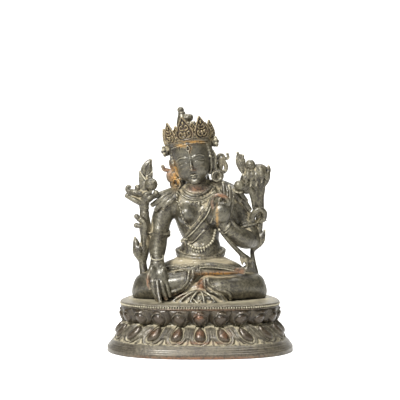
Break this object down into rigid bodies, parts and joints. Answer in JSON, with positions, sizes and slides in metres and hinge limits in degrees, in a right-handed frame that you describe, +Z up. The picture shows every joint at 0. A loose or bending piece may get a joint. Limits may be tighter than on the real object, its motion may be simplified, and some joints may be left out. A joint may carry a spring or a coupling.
{
  "type": "tara figure",
  "caption": "Cast bronze Tara seated cross-legged between two lotus sprays, right palm lowered, left hand raised, on a double lotus base.",
  "frame": {"origin": "middle of the base's flat underside", "axes": "+Z up, figure faces -Y, +X towards the figure's left side"},
  "size_m": [0.138, 0.1054, 0.1809],
  "materials": {
    "figure_bronze": "dark brown cast bronze, grey-green patina, dust in the recesses, copper wear on high points",
    "base_bronze": "dark brown cast bronze, grey-green patina, pale dust between the petals, copper wear on their tips"
  },
  "bodies": {
    "root": {"tara_figure": "figure_bronze", "lotus_base": "base_bronze"}
  },
  "joints": []
}
